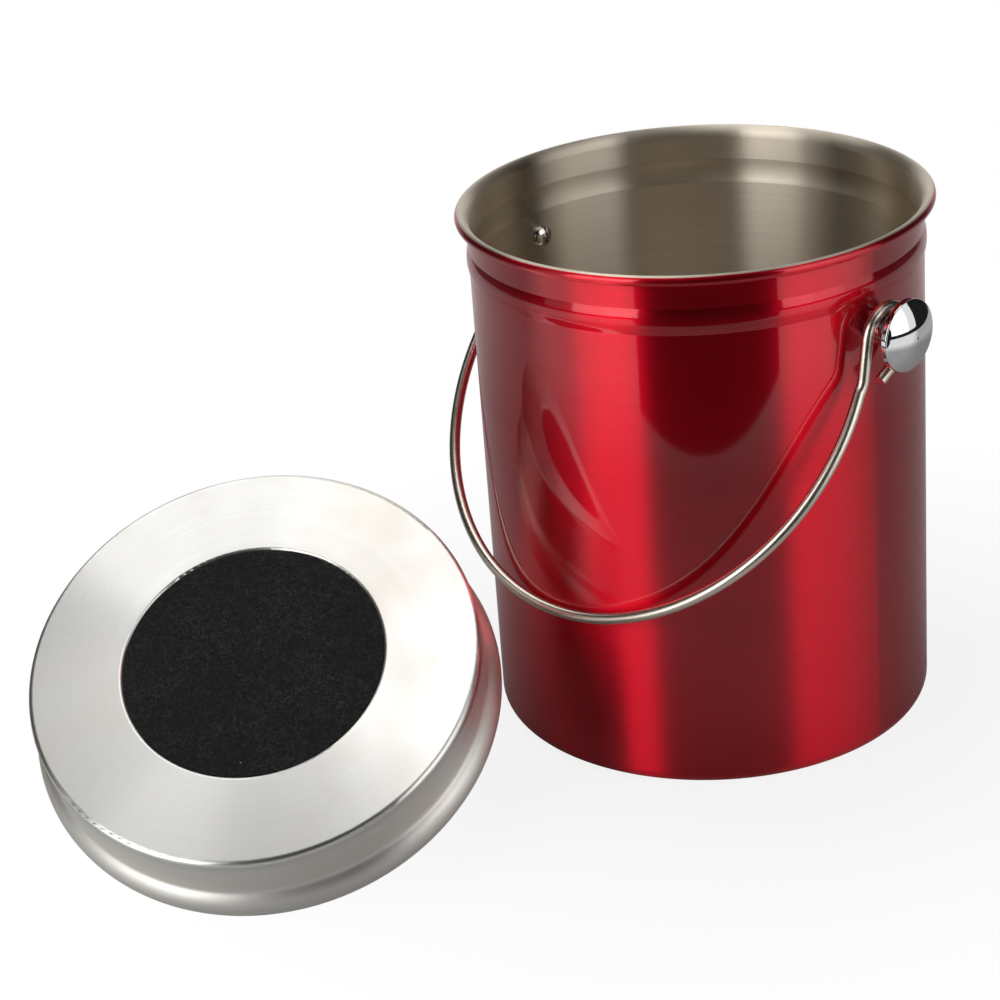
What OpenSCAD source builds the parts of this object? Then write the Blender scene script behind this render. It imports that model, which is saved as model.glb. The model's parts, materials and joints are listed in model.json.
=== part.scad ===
// Compost caddy: lacquered steel pail with a wire bail and a lift-off filter lid.
// The lid is stored upside down beside the pail, resting on its knob and bulge.
// Millimetres, Z up, origin at the centre of the pail's base, X along the bail's pivots.

/* [Pail] */
// Outside diameter of the pail's wall
pail_d = 160; // [140:1:180]
// Height of the pail over its lip
pail_h = 192; // [175:1:210]
// Thickness of the pail's sheet
pail_t = 0.8; // [0.6:0.1:1.2]
// Outside radius where the wall meets the base
base_r = 5; // [3:0.5:8]

/* [Lip] */
// How far the lip stands out from the wall
lip_out = 4; // [3.4:0.1:5]
// Outside radius of the rolled edge
curl_r = 1.8; // [1.5:0.1:2]
// Radius of the flare that leads into the roll
flare_r = 4; // [3.5:0.25:5]
// Clear gap between the end of the roll and the flare
curl_gap = 0.6; // [0.4:0.1:0.8]

/* [Bead] */
// Distance from the top of the lip to the middle of the bead
bead_drop = 17; // [14:0.5:19]
// Height of the bead
bead_h = 9.2; // [6:0.2:10]
// How far the bead stands out
bead_out = 0.8; // [0.5:0.1:1.2]

/* [Side knobs] */
// Distance from the top of the lip to the bail's pivot
pivot_drop = 31.2; // [30:0.2:40]
// Diameter of the knob's rim
knob_d = 25; // [22:0.5:30]
// Diameter of the neck that carries the hook
neck_d = 11.6; // [10:0.2:13]
// Length of the cone under the knob's head
knob_cone_h = 4.2; // [3:0.2:6]
// Thickness of the rim band
knob_rim_t = 2.4; // [1.6:0.2:3.2]
// Rise of the knob's crown
knob_crown_h = 3.6; // [2.5:0.1:5]
// Side play of the wire between the pail's wall and the knob's head
neck_play = 0.9; // [0.5:0.1:2]

/* [Screws] */
// Diameter of the knob screws
screw_d = 4; // [3:0.5:5]
// Diameter of the pan head
head_d = 7.4; // [7:0.2:9]
// Height of the pan head
head_h = 2.4; // [2:0.1:3.2]
// Height of the head's straight edge
head_edge_h = 1.2; // [0.8:0.1:1.4]
// Width across the cross recess
recess_span = 4.6; // [4:0.1:5]
// Width of each slot of the recess
recess_w = 0.9; // [0.7:0.1:1.1]
// Depth of the recess
recess_depth = 1.7; // [1.2:0.1:1.8]
// Length of the screw inside its knob
grip_l = 10; // [6:0.5:12]
// Diameter of the washers
washer_d = 8; // [7.6:0.2:10]
// Thickness of the washers
washer_t = 1; // [0.5:0.1:1.4]

/* [Bail] */
// Diameter of the wire
wire_d = 4; // [3:0.1:4.5]
// Angle between the resting bail and the pail's wall
bail_lean = 40; // [36:0.5:44]
// Inside radius of the hooks
hook_r = 8.6; // [8:0.1:10]
// Length of the hook's straight tail
tail_l = 11; // [6:0.5:12]
// Angle at which the leg runs into its hook
hook_slant = 30; // [25:1:35]
// Angle by which the tail closes the hook
tail_turn = 20; // [10:1:30]
// Radius of the bends between leg and hook
leg_bend_r = 8; // [5:0.5:10]

/* [Lid] */
// Radial gap between the filter cover and the pail's mouth
lid_fit = 0.9; // [0.5:0.1:2]
// How far the widest part of the bulge stays inside the lip
bulge_in = 1.9; // [1:0.1:3]
// Outside radius of the bulge
bulge_r = 7.1; // [5:0.1:9]
// Distance from the lid's underside to the middle of the bulge
bulge_up = 26.7; // [24:0.1:30]
// Rise of the dome over the middle of the bulge
dome_up = 19.8; // [16:0.2:24]
// Radius of the hollow bend between skirt and bulge
shoulder_r = 2.5; // [1.5:0.1:4]
// Thickness of the lid's sheet
lid_t = 0.7; // [0.5:0.1:1]
// Diameter of the vent holes
vent_d = 4; // [3:0.5:5]
// Number of vent holes in each ring
vent_n = 12; // [8:1:16]
// Radius of the inner ring of vent holes
vent_ring_r = 28; // [24:1:34]
// Distance between the two rings of vent holes
vent_ring_step = 11; // [8:1:14]

/* [Filter cover] */
// Diameter of the round opening over the felt
opening_d = 90.7; // [80:0.5:100]
// Thickness of the filter cover's sheet
ring_t = 0.6; // [0.4:0.1:0.8]
// Depth of its turned-down edge
ring_h = 4.2; // [3:0.1:6]
// Outside radius of that edge
ring_edge_r = 1.8; // [1.2:0.1:2.4]
// Outside radius of the turned edge of the opening
opening_edge_r = 1.2; // [0.9:0.1:1.5]

/* [Filter] */
// Thickness of the felt disc
felt_t = 7; // [5:0.5:9]
// How far the felt stays below the face of the filter cover
felt_sink = 0.25; // [0.1:0.05:0.5]

/* [Lid knob] */
// Diameter of the knob's rim
lid_knob_d = 32; // [28:0.5:36]
// Height of the whole knob
lid_knob_h = 27.4; // [24:0.2:30]
// Diameter of the knob's neck
lid_neck_d = 14; // [11:0.5:16]
// Radius of the knob's round crown
lid_crown_r = 24; // [22:0.5:27]
// Thickness of its rim band
lid_rim_t = 2.8; // [2:0.2:3.4]
// Length of the cone under its head
lid_cone_h = 6; // [4:0.5:8]

/* [Lid beside the pail] */
// Room left between pail and lid for the swinging bail
lid_stand_off = 26.5; // [24:0.5:40]
// Compass direction of the lid as seen from the pail
lid_place_az = -104.5; // [-112:0.5:-98]
// Compass direction in which the lid's underside is tilted
lid_face_az = -51.8; // [-60:0.5:-45]

/* [Hidden] */
$fn = 96;

// Clearances
seat_gap = 0.3;
thread_gap = 0.05;
hole_gap = 0.2;
slip_gap = 0.08;
felt_gap = 0.15;
lip_pass = 0.4;
join_gap = 0.04;
join_over = 0.02;
join_l = 0.3;
cut = 1;

// Pail
wall_r = pail_d / 2;
bore_r = wall_r - pail_t;
lip_r = wall_r + lip_out;
pivot_z = pail_h - pivot_drop;
bead_z = pail_h - bead_drop;
bead_arc_r = (bead_h * bead_h / 4 + bead_out * bead_out) / (2 * bead_out);
curl_c = [lip_r - curl_r, pail_h - curl_r];
flare_reach = flare_r + pail_t - curl_r;
flare_turn = acos((wall_r + flare_r - curl_c[0]) / flare_reach);
flare_c = [wall_r + flare_r, curl_c[1] - flare_reach * sin(flare_turn)];
curl_end = curl_end_angle();

// Screws and knobs
screw_r = screw_d / 2;
washer_r = washer_d / 2;
neck_r = neck_d / 2;
knob_r = knob_d / 2;
washer_x = sqrt(bore_r * bore_r - washer_r * washer_r) - washer_t;
knob_step = 0.4;
knob_round = 0.5;
head_crown_h = head_h - head_edge_h;
head_crown_r = crown_radius(head_d / 2, head_crown_h);

// Bail: E runs down the hanging bail and N out of its plane
wire_r = wire_d / 2;
bail_reach = (wall_r + wire_r + seat_gap) / sin(bail_lean);
lip_under = pivot_drop - 2 * curl_r;
lip_pass_x = lip_r + wire_r + lip_pass;
bow_span = bail_reach - lip_under;
bow_r = (lip_pass_x * lip_pass_x + bow_span * bow_span) / (2 * bow_span);
bow_e = bail_reach - bow_r;
loop_r = hook_r + wire_r;
loop_sag = hook_r - neck_r - seat_gap;
loop_c = loop_sag * [cos(bail_lean), -sin(bail_lean)];
loop_in = loop_c + loop_r * [sin(hook_slant), cos(hook_slant)];
loop_out_angle = 270 + tail_turn;
loop_out = loop_c + loop_r * [cos(loop_out_angle), sin(loop_out_angle)];
leg_e = loop_in[0] + loop_in[1] / tan(hook_slant) + leg_bend_r * tan(hook_slant / 2);
leg_bend_n = leg_bend_r * (1 - cos(hook_slant));
slant_start = [leg_e - leg_bend_r * sin(hook_slant), leg_bend_n];
slant_l = (loop_in[1] - leg_bend_n) / sin(hook_slant);
bow_turn = asin((bow_e - leg_e) / (bow_r + leg_bend_r));
hook_x = bow_r * cos(bow_turn) - leg_bend_r * (1 - cos(bow_turn));
neck_l = hook_x + wire_r + neck_play - wall_r;

// Lid, measured from its underside towards its knob
ring_r = bore_r - lid_fit;
skirt_r = ring_r - ring_t - slip_gap;
tube_c = [lip_r - bulge_in - bulge_r, bulge_up];
shoulder_c = [
    skirt_r + shoulder_r,
    bulge_up - sqrt(pow(bulge_r + shoulder_r, 2) - pow(skirt_r + shoulder_r - tube_c[0], 2))
];
shoulder_turn = atan2(tube_c[1] - shoulder_c[1], tube_c[0] - shoulder_c[0]);
dome_z = bulge_up + dome_up;
dome_r = (pow(tube_c[0], 2) + dome_up * dome_up - bulge_r * bulge_r) / (2 * (dome_up - bulge_r));
dome_c = [0, dome_z - dome_r];
dome_turn = atan2(tube_c[1] - dome_c[1], tube_c[0]);
felt_r = skirt_r - lid_t - felt_gap;
opening_r = opening_d / 2;
lid_rim_r = lid_knob_d / 2;
lid_crown_h = crown_height(lid_crown_r, lid_rim_r - knob_step);
lid_rim_z = lid_knob_h - lid_crown_h - lid_rim_t;
lid_washer_z = dome_c[1] + sqrt(pow(dome_r - lid_t, 2) - washer_r * washer_r);

// Lid at rest: its crown and its bulge both touch the floor
crown_z = dome_z + lid_knob_h - lid_crown_r;
tilt_arm = norm([tube_c[0], crown_z - bulge_up]);
lid_tilt = atan2(crown_z - bulge_up, tube_c[0]) + asin((lid_crown_r - bulge_r) / tilt_arm);
lid_face_z = crown_z * cos(lid_tilt) + lid_crown_r;
lid_dist = wall_r + ring_r + lid_stand_off;

function crown_radius(r, h) = (r * r + h * h) / (2 * h);
function crown_height(big_r, r) = big_r - sqrt(big_r * big_r - r * r);

// Angle round the roll at which its end is curl_gap away from the flare's outer face
function curl_end_angle() =
    let (free_r = flare_r - curl_gap)
    let (toward = atan2(flare_c[1] - curl_c[1], flare_c[0] - curl_c[0]))
    let (c = (flare_reach * flare_reach + curl_r * curl_r - free_r * free_r)
        / (2 * flare_reach * curl_r))
    toward - acos(c);

// Ring sector between two radii, drawn in the plane of a profile
module band(c, r_in, r_out, a0, a1) {
    far = 2 * r_out;
    step = (a1 - a0) / 3;
    translate(c)
        intersection() {
            difference() {
                circle(r = r_out);
                circle(r = r_in);
            }
            polygon([
                [0, 0],
                far * [cos(a0), sin(a0)],
                far * [cos(a0 + step), sin(a0 + step)],
                far * [cos(a1 - step), sin(a1 - step)],
                far * [cos(a1), sin(a1)]
            ]);
        }
}

// Half outline of the pail at one face of the sheet, from the axis to the flare
module pail_face(r, corner, z0) {
    translate([0, z0 + corner])
        square([r, flare_c[1] - z0 - corner]);
    translate([0, z0])
        square([r - corner, corner]);
    translate([r - corner, z0 + corner])
        circle(r = corner);
    intersection() {
        translate([r + bead_out - bead_arc_r, bead_z])
            circle(r = bead_arc_r);
        translate([0, bead_z - bead_h])
            square([r + bead_out, 2 * bead_h]);
    }
}

module pail_body() {
    color([0.62, 0.03, 0.07])
        difference() {
            rotate_extrude() {
                difference() {
                    pail_face(wall_r, base_r, 0);
                    pail_face(bore_r, base_r - pail_t, pail_t);
                }
                band(flare_c, flare_r, flare_r + pail_t, 180 - flare_turn, 180);
                band(curl_c, curl_r - pail_t, curl_r, 0, 180 - flare_turn);
                band(curl_c, curl_r - pail_t, curl_r, curl_end, 0);
            }
            for (side = [-1, 1])
                translate([side * wall_r, 0, pivot_z])
                    rotate([0, 90, 0])
                        cylinder(r = screw_r + hole_gap, h = 2 * (pail_t + cut), center = true);
        }
}

// Turned knob: foot at z = 0, neck, cone, rim band and crown
module mushroom(foot_r, foot_h, cone_h, rim_r, rim_t, crown_r) {
    rim_z = foot_h + cone_h;
    top_z = rim_z + rim_t;
    face_r = rim_r - knob_step;
    difference() {
        rotate_extrude() {
            square([foot_r, foot_h]);
            polygon([[0, foot_h], [foot_r, foot_h], [face_r, rim_z], [0, rim_z]]);
            translate([0, rim_z])
                square([rim_r - knob_round, rim_t]);
            translate([0, rim_z + knob_round])
                square([rim_r, rim_t - 2 * knob_round]);
            for (z = [rim_z + knob_round, top_z - knob_round])
                translate([rim_r - knob_round, z])
                    circle(r = knob_round);
            intersection() {
                translate([0, top_z + crown_height(crown_r, face_r) - crown_r])
                    circle(r = crown_r);
                translate([0, top_z])
                    square([face_r, crown_r]);
            }
        }
        translate([0, 0, -cut])
            cylinder(r = screw_r + thread_gap, h = grip_l + cut + seat_gap);
    }
}

// Cross-recess pan-head screw: underside of the head at z = 0, head towards -Z
module pan_screw(shank_l) {
    difference() {
        rotate_extrude() {
            square([screw_r, shank_l]);
            translate([0, -head_edge_h])
                square([head_d / 2, head_edge_h]);
            intersection() {
                translate([0, head_crown_r - head_h])
                    circle(r = head_crown_r);
                translate([0, -head_h])
                    square([head_d / 2, head_crown_h]);
            }
        }
        intersection() {
            union() {
                for (turn = [0, 90])
                    rotate([0, 0, turn])
                        translate([-recess_span / 2, -recess_w / 2, -head_h - cut])
                            cube([recess_span, recess_w, recess_depth + cut]);
            }
            translate([0, 0, -head_h])
                cylinder(r1 = recess_span / 2, r2 = recess_w / 2, h = recess_depth);
        }
    }
}

module flat_washer() {
    difference() {
        cylinder(r = washer_r, h = washer_t);
        translate([0, 0, -cut])
            cylinder(r = screw_r + hole_gap, h = washer_t + 2 * cut);
    }
}

// Places a piece on the pivot axis, its own Z pointing out of the pail
module on_pivot(side, x) {
    translate([side * x, 0, pivot_z])
        rotate([0, side * 90, 0])
            children();
}

module side_knob(side) {
    color([0.86, 0.87, 0.88])
        on_pivot(side, wall_r)
            mushroom(
                neck_r, neck_l, knob_cone_h, knob_r, knob_rim_t,
                crown_radius(knob_r - knob_step, knob_crown_h)
            );
}

module side_screw(side) {
    color([0.72, 0.72, 0.7])
        on_pivot(side, washer_x)
            pan_screw(wall_r - washer_x + grip_l);
}

module side_washer(side) {
    color([0.66, 0.65, 0.62])
        on_pivot(side, washer_x)
            flat_washer();
}

module knob_right() {
    side_knob(1);
}

module knob_left() {
    side_knob(-1);
}

module screw_right() {
    side_screw(1);
}

module screw_left() {
    side_screw(-1);
}

module washer_right() {
    side_washer(1);
}

module washer_left() {
    side_washer(-1);
}

// Bent stretch of wire round a centre in its own plane, short of its ends by half a join
module wire_arc(c, r, a0, a1) {
    trim = join_gap / 2 / r * 180 / PI;
    translate([c[0], c[1], 0])
        rotate([0, 0, a0 + trim])
            rotate_extrude(angle = a1 - a0 - 2 * trim)
                translate([r, 0])
                    circle(r = wire_r);
}

// Straight stretch of wire from a point in its own plane to the next bend
module wire_line(p, heading, l) {
    translate([p[0], p[1], 0])
        rotate([0, 0, heading])
            translate([join_gap / 2, 0, 0])
                rotate([0, 90, 0])
                    cylinder(r = wire_r, h = l - join_gap / 2);
}

// Thin disc across the wire that joins two stretches of it
module wire_join(p, heading) {
    translate([p[0], p[1], 0])
        rotate([0, 0, heading])
            rotate([0, 90, 0])
                cylinder(r = wire_r + join_over, h = join_l, center = true);
}

// Hook in its own plane: X along E, Y along N
module hook() {
    wire_join([leg_e, 0], 0);
    wire_arc([leg_e, leg_bend_r], leg_bend_r, -90 - hook_slant, -90);
    wire_join(slant_start, -hook_slant);
    wire_line(loop_in, -hook_slant, slant_l - join_gap / 2);
    wire_join(loop_in, -hook_slant);
    wire_arc(loop_c, loop_r, 90 - hook_slant, loop_out_angle);
    wire_join(loop_out, tail_turn);
    wire_line(loop_out, tail_turn, tail_l);
}

// Bow and legs in the plane of the bail: X along the pivot, Y along E
module bow() {
    wire_arc([0, bow_e], bow_r, -bow_turn, 180 + bow_turn);
    for (side = [-1, 1])
        wire_join(
            [side * bow_r * cos(bow_turn), bow_e - bow_r * sin(bow_turn)],
            90 - side * bow_turn
        );
    wire_arc([hook_x + leg_bend_r, leg_e], leg_bend_r, 180 - bow_turn, 180);
    wire_arc([-hook_x - leg_bend_r, leg_e], leg_bend_r, 0, bow_turn);
}

module bail_handle() {
    color([0.78, 0.76, 0.72])
        translate([0, 0, pivot_z])
            rotate([-bail_lean, 0, 0]) {
                rotate([-90, 0, 0])
                    bow();
                for (side = [-1, 1])
                    translate([side * hook_x, 0, 0])
                        rotate([0, 90, 0])
                            rotate([180, 0, 0])
                                hook();
            }
}

// Puts a lid piece, drawn with its underside at z = 0, upside down beside the pail
module lid_at_rest() {
    translate([lid_dist * cos(lid_place_az), lid_dist * sin(lid_place_az), lid_face_z])
        rotate([0, 180 + lid_tilt, lid_face_az])
            children();
}

module lid_cover() {
    color([0.74, 0.73, 0.71])
        lid_at_rest()
            difference() {
                rotate_extrude() {
                    translate([skirt_r - lid_t, ring_edge_r])
                        square([lid_t, shoulder_c[1] - ring_edge_r]);
                    band(shoulder_c, shoulder_r, shoulder_r + lid_t, shoulder_turn, 180);
                    band(tube_c, bulge_r - lid_t, bulge_r, shoulder_turn - 180, dome_turn);
                    band(dome_c, dome_r - lid_t, dome_r, dome_turn, 90);
                }
                translate([0, 0, dome_z])
                    cylinder(r = screw_r + hole_gap, h = 2 * (lid_t + cut), center = true);
                for (ring = [0, 1])
                    for (i = [0 : vent_n - 1])
                        rotate([0, 0, (i + ring / 2) * 360 / vent_n])
                            translate([vent_ring_r + ring * vent_ring_step, 0, bulge_up + bulge_r])
                                cylinder(r = vent_d / 2, h = dome_up);
            }
}

module lid_knob() {
    color([0.86, 0.87, 0.88])
        lid_at_rest()
            translate([0, 0, dome_z])
                mushroom(
                    lid_neck_d / 2, lid_rim_z - lid_cone_h, lid_cone_h,
                    lid_rim_r, lid_rim_t, lid_crown_r
                );
}

module lid_knob_screw() {
    color([0.72, 0.72, 0.7])
        lid_at_rest()
            translate([0, 0, lid_washer_z - washer_t])
                pan_screw(dome_z - lid_washer_z + washer_t + grip_l);
}

module lid_knob_washer() {
    color([0.66, 0.65, 0.62])
        lid_at_rest()
            translate([0, 0, lid_washer_z - washer_t])
                flat_washer();
}

module charcoal_filter() {
    color([0.05, 0.05, 0.05])
        lid_at_rest()
            rotate_extrude() {
                translate([0, ring_t + slip_gap])
                    difference() {
                        square([felt_r, felt_t]);
                        square([opening_r + opening_edge_r + felt_gap, opening_edge_r - ring_t + felt_gap]);
                    }
                translate([0, felt_sink])
                    square([opening_r - felt_gap, opening_edge_r + felt_gap]);
            }
}

module filter_retainer() {
    color([0.78, 0.77, 0.75])
        lid_at_rest()
            rotate_extrude() {
                translate([opening_r + opening_edge_r, 0])
                    square([ring_r - ring_edge_r - opening_r - opening_edge_r, ring_t]);
                band(
                    [opening_r + opening_edge_r, opening_edge_r],
                    opening_edge_r - ring_t, opening_edge_r, 180, 270
                );
                band([ring_r - ring_edge_r, ring_edge_r], ring_edge_r - ring_t, ring_edge_r, 270, 360);
                translate([ring_r - ring_t, ring_edge_r])
                    square([ring_t, ring_h - ring_edge_r]);
            }
}

pail_body();
knob_right();
knob_left();
screw_right();
screw_left();
washer_right();
washer_left();
bail_handle();
lid_cover();
lid_knob();
lid_knob_screw();
lid_knob_washer();
charcoal_filter();
filter_retainer();
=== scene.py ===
"""Looks for the compost caddy: materials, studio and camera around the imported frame. Metres, Z up."""

import json
import math

import bpy
from mathutils import Matrix, Vector


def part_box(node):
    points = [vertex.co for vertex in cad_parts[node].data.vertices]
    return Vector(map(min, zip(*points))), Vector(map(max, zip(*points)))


# Camera, found from the photograph's rims and lid
CAMERA_PLACE = (0.6019, -0.6409, 0.484)
CAMERA_HEADING = math.radians(-48.15)
CAMERA_PITCH = math.radians(24.73)
CAMERA_ROLL = math.radians(-4.58)
CAMERA_LENS = 94.43
CAMERA_SENSOR = 36.0

CAMERA_AZIMUTH = math.atan2(CAMERA_PLACE[0], -CAMERA_PLACE[1])
TOWARDS_CAMERA = Vector((math.sin(CAMERA_AZIMUTH), -math.cos(CAMERA_AZIMUTH), 0))

# The pail stands upright at the origin
PAIL_AXIS = Vector((0, 0, 1))
PAIL_CENTRE = (0, 0, 0)

# Table that pail and lid stand on. Towards the camera, between two directions measured from the
# camera's, it ends in a straight near edge, and the front of the pail mirrors the dark room past it.
TABLE_REACH = 0.9
TABLE_EDGE = 0.365
TABLE_SHORT_FROM = -28
TABLE_SHORT_TO = 36
# Middle of the dark gap between pail and lid, where the table's glow in mirrors gets painted shade
PAINTED_SHADE_GAP = (-0.022, -0.095, 0)

# Upright softboxes: azimuth of the middle, radiance of their three panels from low to high azimuth
SIDE_BOXES = (
    (-9, (0.4, 2.3, 2.7)),
    (107, (1.7, 1.4, 0.95)),
)
SIDE_DISTANCE = 1.5
SIDE_PANEL_WIDTH = 0.45
SIDE_PANEL_HEIGHT = 1.55
# Weak softbox behind the object
BACK_AZIMUTH = 223
BACK_DISTANCE = 1.5
BACK_HEIGHT = 1.0
BACK_TARGET_HEIGHT = 0.5
BACK_SIZE = (1.6, 1.2)
BACK_RADIANCE = 0.6
# Ceiling panels: x from, x to, y from, y to, radiance
CEILING = (
    (-1.3, -0.5, -0.37, 0.03, 2.0),
    (-0.5, 0.1, -0.37, 0.03, 2.2),
    (-1.3, -0.5, 0.03, 0.43, 1.1),
    (-0.5, 0.1, 0.03, 0.43, 1.6),
    (0.1, 1.1, 0.03, 0.43, 0.4),
)
CEILING_HEIGHT = 1.35
ROOM_LIGHT = 0.015

# Colours as linear red, green, blue and alpha
WHITE = (1, 1, 1, 1)
TABLE_GREY = (0.44, 0.44, 0.44, 1)
LACQUER_RED = (0.82, 0.006, 0.026, 1)
LACQUER_LINE = (0.58, 0.002, 0.012, 1)
BARE_STEEL = (0.87, 0.78, 0.65, 1)
BARE_LINE = (0.56, 0.48, 0.38, 1)
COVER_STEEL = (0.88, 0.87, 0.84, 1)
LID_STEEL = (0.9, 0.88, 0.83, 1)
DARK_LINE = (0.35, 0.34, 0.33, 1)
CHROME = (0.74, 0.75, 0.76, 1)
SCREW_STEEL = (0.76, 0.75, 0.73, 1)
WIRE_STEEL = (0.78, 0.72, 0.62, 1)
# Near black of the hollows in the felt: painted shade
FELT_HOLLOW_SHADE = (0.002, 0.002, 0.002, 1)
FELT_FIBRE = (0.05, 0.05, 0.049, 1)
FELT_SPECK = (0.55, 0.53, 0.5, 1)

# Turns the long highlight of brushed metal across its brush lines
ACROSS_THE_LINES = 0.25


def nodes_of(tree):
    """Shorthand that adds a node: add(kind, input=value or socket). An input i3 is the one numbered 3."""

    def add(kind, out=0, settings=None, **inputs):
        node = tree.nodes.new(kind)
        for name, value in (settings or {}).items():
            setattr(node, name, value)
        for name, value in inputs.items():
            key = int(name[1:]) if name[1:].isdigit() else name.replace("_", " ")
            socket = node.inputs[key]
            if isinstance(value, bpy.types.NodeSocket):
                tree.links.new(value, socket)
            else:
                socket.default_value = value
        return node.outputs[out]

    return add


def new_material(name):
    mat = bpy.data.materials.new(name)
    mat.use_nodes = True
    tree = mat.node_tree
    tree.nodes.clear()
    return mat, tree, nodes_of(tree)


def finish_material(tree, surface):
    output = tree.nodes.new("ShaderNodeOutputMaterial")
    tree.links.new(surface, output.inputs["Surface"])


def math_node(add, operation, a, b=0.0):
    return add("ShaderNodeMath", settings={"operation": operation}, i0=a, i1=b)


def vector_node(add, operation, a, b=(0, 0, 0), out=0):
    return add("ShaderNodeVectorMath", out=out, settings={"operation": operation}, i0=a, i1=b)


def ramp(add, value, low, high, to_low=0.0, to_high=1.0):
    """Maps value from low..high to to_low..to_high and clamps it there."""
    return add(
        "ShaderNodeMapRange", Value=value,
        From_Min=low, From_Max=high, To_Min=to_low, To_Max=to_high,
    )


def mix_colour(add, factor, a, b):
    return add("ShaderNodeMix", out=2, settings={"data_type": "RGBA"}, i0=factor, i6=a, i7=b)


def noise(add, vector, scale, detail=2.0, roughness=0.5):
    return add("ShaderNodeTexNoise", Vector=vector, Scale=scale, Detail=detail, Roughness=roughness)


def round_coordinates(add, centre, axis):
    """Coordinates about an axis: (offset from the centre, distance from the axis, height along it)."""
    place = add("ShaderNodeTexCoord", out=3)
    offset = vector_node(add, "SUBTRACT", place, tuple(centre))
    height = vector_node(add, "DOT_PRODUCT", offset, tuple(axis), out=1)
    along = add("ShaderNodeVectorMath", settings={"operation": "SCALE"}, i0=tuple(axis), Scale=height)
    flat = vector_node(add, "SUBTRACT", offset, along)
    radius = vector_node(add, "LENGTH", flat, out=1)
    return flat, radius, height


def brushing(add, flat, radius, height, along, across):
    """Noise coordinates that run long round the axis and short across the brush lines."""
    reach = math_node(add, "MULTIPLY", math_node(add, "ADD", radius, height), across)
    slow = add("ShaderNodeVectorMath", settings={"operation": "SCALE"}, i0=flat, Scale=along)
    lift = add("ShaderNodeCombineXYZ", Z=reach)
    return vector_node(add, "ADD", slow, lift)


def round_tangent(add, flat, axis):
    """Direction of the brush lines, round the axis."""
    return vector_node(add, "NORMALIZE", vector_node(add, "CROSS_PRODUCT", tuple(axis), flat))


def brushed_steel(name, centre, axis, colour, roughness, anisotropy, across):
    """Steel brushed round an axis, with faint warm smudges."""
    mat, tree, add = new_material(name)
    flat, radius, height = round_coordinates(add, centre, axis)
    lines = noise(add, brushing(add, flat, radius, height, 14.0, across), 1.0, 3.0, 0.6)
    smudges = noise(add, flat, 24.0, 3.0, 0.6)
    smudged = (colour[0] * 0.98, colour[1] * 0.93, colour[2] * 0.87, 1)
    warm = mix_colour(add, ramp(add, smudges, 0.5, 0.74), colour, smudged)
    base = mix_colour(add, ramp(add, lines, 0.3, 0.7, 0.0, 0.1), warm, DARK_LINE)
    streaks = ramp(add, lines, 0.3, 0.7, roughness - 0.02, roughness + 0.02)
    rough = math_node(add, "ADD", streaks, ramp(add, smudges, 0.4, 0.7, -0.01, 0.02))
    bump = add("ShaderNodeBump", Height=lines, Strength=0.02, Distance=0.0002)
    shader = add(
        "ShaderNodeBsdfPrincipled", Base_Color=base, Metallic=1.0, Roughness=rough,
        Anisotropic=anisotropy, Anisotropic_Rotation=ACROSS_THE_LINES,
        Tangent=round_tangent(add, flat, axis), Normal=bump,
    )
    finish_material(tree, shader)
    return mat


def lacquered_pail():
    """Candy red lacquer over horizontal brushing outside, bare brushed steel inside.

    The lacquer covers what faces outward or down, and ends on the crest of the lip.
    """
    mat, tree, add = new_material("lacquered_steel")
    flat, radius, height = round_coordinates(add, PAIL_CENTRE, PAIL_AXIS)
    lines = noise(add, brushing(add, flat, radius, height, 10.0, 2400.0), 1.0, 4.0, 0.65)
    clouds = noise(add, flat, 22.0, 2.0)
    normal = add("ShaderNodeNewGeometry", out=1)
    outward = vector_node(add, "DOT_PRODUCT", normal, vector_node(add, "NORMALIZE", flat), out=1)
    upward = vector_node(add, "DOT_PRODUCT", normal, (0, 0, 1), out=1)
    side = math_node(add, "SUBTRACT", outward, math_node(add, "MULTIPLY", upward, 0.6))
    outside = ramp(add, side, 0.0, 0.06)
    streak = ramp(add, lines, 0.3, 0.7, 0.0, 0.33)
    steel = mix_colour(add, streak, BARE_STEEL, BARE_LINE)
    red = mix_colour(add, streak, LACQUER_RED, LACQUER_LINE)
    base = mix_colour(add, outside, steel, red)
    streaks = ramp(add, lines, 0.3, 0.7, 0.35, 0.43)
    rough = math_node(add, "ADD", streaks, ramp(add, clouds, 0.4, 0.7, 0.0, 0.02))
    bump = add("ShaderNodeBump", Height=lines, Strength=0.06, Distance=0.0002)
    shader = add(
        "ShaderNodeBsdfPrincipled", Base_Color=base, Metallic=1.0, Roughness=rough,
        Anisotropic=1.0, Anisotropic_Rotation=ACROSS_THE_LINES,
        Tangent=round_tangent(add, flat, PAIL_AXIS), Normal=bump,
        Coat_Weight=outside, Coat_Roughness=0.05, Coat_IOR=1.5,
    )
    finish_material(tree, shader)
    return mat


def polished(name, colour, roughness, grain=400.0, wear=0.03):
    """Chrome or polished steel with faint wear."""
    mat, tree, add = new_material(name)
    place = add("ShaderNodeTexCoord", out=3)
    specks = noise(add, place, grain, 3.0, 0.6)
    worn = (colour[0] * 0.8, colour[1] * 0.79, colour[2] * 0.77, 1)
    base = mix_colour(add, ramp(add, specks, 0.35, 0.75, 0.0, 0.25), colour, worn)
    rough = ramp(add, specks, 0.35, 0.75, roughness, roughness + wear)
    shader = add("ShaderNodeBsdfPrincipled", Base_Color=base, Metallic=1.0, Roughness=rough)
    finish_material(tree, shader)
    return mat


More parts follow.
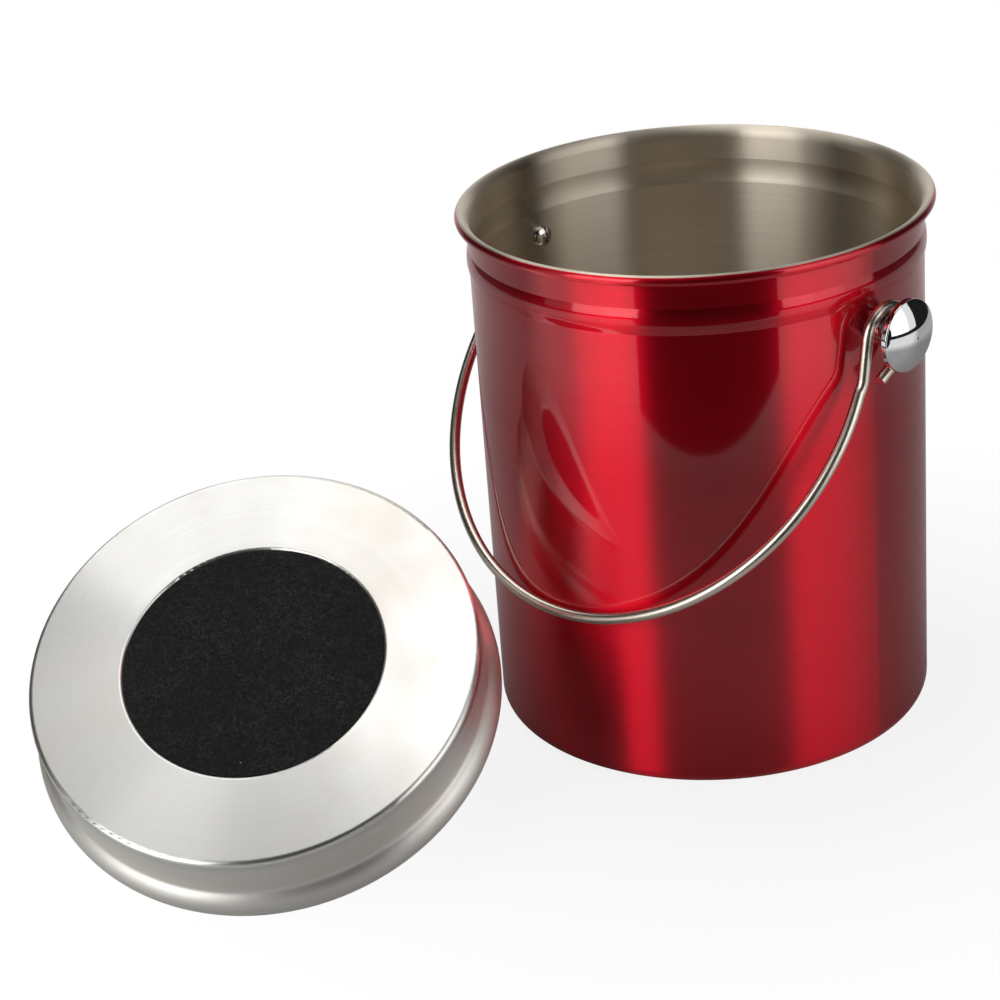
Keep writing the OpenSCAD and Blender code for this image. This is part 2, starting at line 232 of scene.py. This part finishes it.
def felt_material():
    """Black carbon felt: layers of fine curled fibres with painted shade in the hollows between them, and
    a few pale specks.
    """
    mat, tree, add = new_material("felt")
    place = add("ShaderNodeTexCoord", out=3)
    fibres = noise(add, place, 900.0, 3.0, 0.7)
    for layer, scale in enumerate((150.0, 210.0, 290.0, 380.0)):
        shifted = vector_node(add, "ADD", place, (0.37 * layer, 0.11 * layer, 0.23 * layer))
        level = math_node(add, "SUBTRACT", noise(add, shifted, scale, 2.0, 0.6), 0.5)
        thread = ramp(add, math_node(add, "ABSOLUTE", level), 0.0, 0.022, 0.55, 0.0)
        raised = math_node(add, "ADD", thread, math_node(add, "MULTIPLY", fibres, 0.5))
        fibres = math_node(add, "MAXIMUM", fibres, raised)
    clumps = noise(add, place, 60.0, 2.0)
    # Painted shade: the felt darkens where its fibre texture is low, with clumps of random tone on top
    tone_and_shade = math_node(add, "MULTIPLY", ramp(add, fibres, 0.5, 0.85), ramp(add, clumps, 0.3, 0.7, 0.5, 1.0))
    dark = mix_colour(add, tone_and_shade, FELT_HOLLOW_SHADE, FELT_FIBRE)
    distance = add("ShaderNodeTexVoronoi", Vector=place, Scale=130.0)
    speck = ramp(add, distance, 0.03, 0.05, 1.0, 0.0)
    cell_colour = add("ShaderNodeTexVoronoi", out=1, Vector=place, Scale=130.0)
    rare = ramp(add, add("ShaderNodeSeparateColor", Color=cell_colour), 0.86, 0.87)
    base = mix_colour(add, math_node(add, "MULTIPLY", speck, rare), dark, FELT_SPECK)
    bump = add("ShaderNodeBump", Height=fibres, Strength=0.7, Distance=0.0005)
    shader = add("ShaderNodeBsdfPrincipled", Base_Color=base, Roughness=0.95, Normal=bump)
    finish_material(tree, shader)
    return mat


def dress(node, material):
    """Gives a piece of the frame its material."""
    mesh = frame["nodes"][node].data
    mesh.materials.clear()
    mesh.materials.append(material)


def aim(obj, place, target):
    """Puts a lamp at a place and turns it towards a target."""
    obj.location = place
    obj.rotation_mode = "QUATERNION"
    obj.rotation_quaternion = (Vector(target) - Vector(place)).to_track_quat("-Z", "Y")


def softbox(name, centre, target, width, height, radiance):
    """Rectangular soft light that shines from centre towards target."""
    lamp = bpy.data.lights.new(name, "AREA")
    lamp.shape = "RECTANGLE"
    lamp.size = width
    lamp.size_y = height
    lamp.energy = radiance * math.pi * width * height
    obj = bpy.data.objects.new(name, lamp)
    bpy.context.scene.collection.objects.link(obj)
    aim(obj, centre, target)
    obj.visible_camera = False


def beside(azimuth, distance, height):
    """Point at a compass direction from the pail: azimuth 0 is at -Y and 90 at +X."""
    turn = math.radians(azimuth)
    return Vector((distance * math.sin(turn), -distance * math.cos(turn), height))


def make_side_boxes():
    """Two upright softboxes of three panels each, standing on the table's level."""
    for azimuth, radiances in SIDE_BOXES:
        inward = -beside(azimuth, SIDE_DISTANCE, 0)
        middle = beside(azimuth, SIDE_DISTANCE, SIDE_PANEL_HEIGHT / 2)
        for step, radiance in zip((-1, 0, 1), radiances):
            centre = middle + beside(azimuth + 90, step * SIDE_PANEL_WIDTH, 0)
            softbox("side_box", centre, centre + inward, SIDE_PANEL_WIDTH, SIDE_PANEL_HEIGHT, radiance)


def make_back_box():
    centre = beside(BACK_AZIMUTH, BACK_DISTANCE, BACK_HEIGHT)
    softbox("back_box", centre, (0, 0, BACK_TARGET_HEIGHT), *BACK_SIZE, BACK_RADIANCE)


def make_ceiling():
    for x_from, x_to, y_from, y_to, radiance in CEILING:
        centre = Vector(((x_from + x_to) / 2, (y_from + y_to) / 2, CEILING_HEIGHT))
        below = (centre.x, centre.y, 0)
        softbox("ceiling_box", centre, below, x_to - x_from, y_to - y_from, radiance)


def table_mesh():
    """Flat round table top with one straight stretch of edge towards the camera."""
    rim = []
    for turn in range(-180, 180, 2):
        short = TABLE_SHORT_FROM <= turn <= TABLE_SHORT_TO
        reach = TABLE_EDGE / math.cos(math.radians(turn)) if short else TABLE_REACH
        rim.append(beside(math.degrees(CAMERA_AZIMUTH) + turn, reach, 0))
    mesh = bpy.data.meshes.new("floor")
    mesh.from_pydata(rim, [], [range(len(rim))])
    return mesh


def table_material():
    """White with the object's soft shadow for the camera, and a pale table in mirrors.

    In mirrors a white glow paints light on it, strong in front and far out, with painted shade under the
    object and in the gap by the lid.
    """
    mat, tree, add = new_material("floor_paper")
    path = tree.nodes.new("ShaderNodeLightPath").outputs
    place = add("ShaderNodeTexCoord", out=3)
    far = vector_node(add, "LENGTH", place, out=1)
    depth = vector_node(add, "DOT_PRODUCT", place, tuple(-TOWARDS_CAMERA), out=1)
    gap = vector_node(add, "DISTANCE", place, PAINTED_SHADE_GAP, out=1)
    colour = mix_colour(add, path["Is Camera Ray"], TABLE_GREY, WHITE)
    paper = add("ShaderNodeBsdfDiffuse", Color=colour)
    # In mirrors this white glow stands in for the table in light: painted light
    glow = add("ShaderNodeEmission", Color=WHITE, Strength=1.0)
    shown = math_node(add, "MULTIPLY", path["Is Camera Ray"], ramp(add, far, 0.1, 0.24, 0.86, 1.0))
    mirrored = math_node(add, "MAXIMUM", path["Is Glossy Ray"], path["Is Transmission Ray"])
    further = ramp(add, far, 0.34, 0.46, 0.2, 0.9)
    painted_light_share = math_node(add, "MULTIPLY", further, ramp(add, depth, -0.13, 0.0, 1.0, 0.36))
    # Painted shade: ambient occlusion and nearness to the gap dim the glow by the object
    open_above = add("ShaderNodeAmbientOcclusion", out=1, Distance=0.18)
    painted_shade = math_node(add, "MULTIPLY", open_above, ramp(add, gap, 0.04, 0.15))
    painted_glow_share = math_node(add, "MULTIPLY", painted_light_share, painted_shade)
    share = math_node(add, "ADD", shown, math_node(add, "MULTIPLY", mirrored, painted_glow_share))
    finish_material(tree, add("ShaderNodeMixShader", i0=share, i1=paper, i2=glow))
    return mat


def make_floor():
    mesh = table_mesh()
    mesh.materials.append(table_material())
    floor = bpy.data.objects.new("floor", mesh)
    bpy.context.scene.collection.objects.link(floor)


def make_world():
    """Dark room for the object, white for the camera and low behind the object in mirrors."""
    world = bpy.data.worlds.new("studio")
    world.use_nodes = True
    tree = world.node_tree
    tree.nodes.clear()
    add = nodes_of(tree)
    path = tree.nodes.new("ShaderNodeLightPath").outputs
    direction = add("ShaderNodeTexCoord")
    depth = vector_node(add, "DOT_PRODUCT", direction, tuple(-TOWARDS_CAMERA), out=1)
    rise = vector_node(add, "DOT_PRODUCT", direction, (0, 0, 1), out=1)
    behind_object = ramp(add, depth, 0.7, 0.95, 0.0, 0.6)
    backdrop = math_node(add, "MULTIPLY", behind_object, ramp(add, rise, 0.1, 0.3, 1.0, 0.0))
    behind = math_node(add, "MULTIPLY", backdrop, path["Is Glossy Ray"])
    seen = math_node(add, "MAXIMUM", behind, path["Is Camera Ray"])
    seen = math_node(add, "MAXIMUM", seen, path["Is Transmission Ray"])
    room = add("ShaderNodeBackground", Color=WHITE, Strength=ROOM_LIGHT)
    white = add("ShaderNodeBackground", Color=WHITE, Strength=1.0)
    mixed = add("ShaderNodeMixShader", i0=seen, i1=room, i2=white)
    output = tree.nodes.new("ShaderNodeOutputWorld")
    tree.links.new(mixed, output.inputs["Surface"])
    bpy.context.scene.world = world


def make_camera():
    """Camera with a heading from +Y towards +X, a pitch below the level and a roll."""
    data = bpy.data.cameras.new("camera")
    data.lens = CAMERA_LENS
    data.sensor_width = CAMERA_SENSOR
    camera = bpy.data.objects.new("camera", data)
    bpy.context.scene.collection.objects.link(camera)
    look = Vector((
        math.sin(CAMERA_HEADING) * math.cos(CAMERA_PITCH),
        math.cos(CAMERA_HEADING) * math.cos(CAMERA_PITCH),
        -math.sin(CAMERA_PITCH),
    ))
    level = Vector((math.cos(CAMERA_HEADING), -math.sin(CAMERA_HEADING), 0))
    above = level.cross(look)
    right = math.cos(CAMERA_ROLL) * level + math.sin(CAMERA_ROLL) * above
    up = -math.sin(CAMERA_ROLL) * level + math.cos(CAMERA_ROLL) * above
    turn = Matrix((right, up, -look)).transposed()
    camera.matrix_world = Matrix.Translation(CAMERA_PLACE) @ turn.to_4x4()
    bpy.context.scene.camera = camera


def even_normals(name):
    """Weighted normals, so that the narrow bends beside a wide face shade evenly."""
    modifier = frame["nodes"][name].modifiers.new("even_normals", "WEIGHTED_NORMAL")
    modifier.keep_sharp = True


def joint_axis(name):
    """Direction of a joint's axis, as the frame gives it."""
    return next(Vector(joint["axis"]) for joint in frame["joints"] if joint["name"] == name)


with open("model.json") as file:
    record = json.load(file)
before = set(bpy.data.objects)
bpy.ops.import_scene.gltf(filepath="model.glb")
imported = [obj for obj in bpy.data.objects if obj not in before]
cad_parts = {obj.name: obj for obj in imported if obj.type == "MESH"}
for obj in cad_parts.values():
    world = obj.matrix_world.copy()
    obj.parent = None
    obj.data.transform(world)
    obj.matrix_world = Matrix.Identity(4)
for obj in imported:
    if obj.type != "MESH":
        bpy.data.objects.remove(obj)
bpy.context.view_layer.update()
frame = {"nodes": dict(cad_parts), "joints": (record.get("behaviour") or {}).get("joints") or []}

cover_low, cover_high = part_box("filter_retainer")
lid_centre = (cover_low + cover_high) / 2
lid_axis = joint_axis("lid_lift")

chrome = polished("chrome", CHROME, 0.03)
plain_steel = polished("screw_steel", SCREW_STEEL, 0.1)
wire = polished("polished_wire", WIRE_STEEL, 0.27, grain=150.0, wear=0.04)
cover_steel = brushed_steel("brushed_steel", lid_centre, lid_axis, COVER_STEEL, 0.3, 0.9, 5200.0)
lid_steel = brushed_steel("lid_steel", lid_centre, lid_axis, LID_STEEL, 0.46, 0.6, 3600.0)

dress("pail_body", lacquered_pail())
for node in ("knob_right", "knob_left", "lid_knob"):
    dress(node, chrome)
for node in ("screw_right", "screw_left", "lid_knob_screw"):
    dress(node, plain_steel)
for node in ("washer_right", "washer_left", "lid_knob_washer"):
    dress(node, plain_steel)
dress("bail_handle", wire)
dress("lid_cover", lid_steel)
dress("filter_retainer", cover_steel)
even_normals("filter_retainer")
dress("charcoal_filter", felt_material())

bpy.context.scene.view_settings.view_transform = "Standard"
make_camera()
make_floor()
make_world()
make_side_boxes()
make_back_box()
make_ceiling()
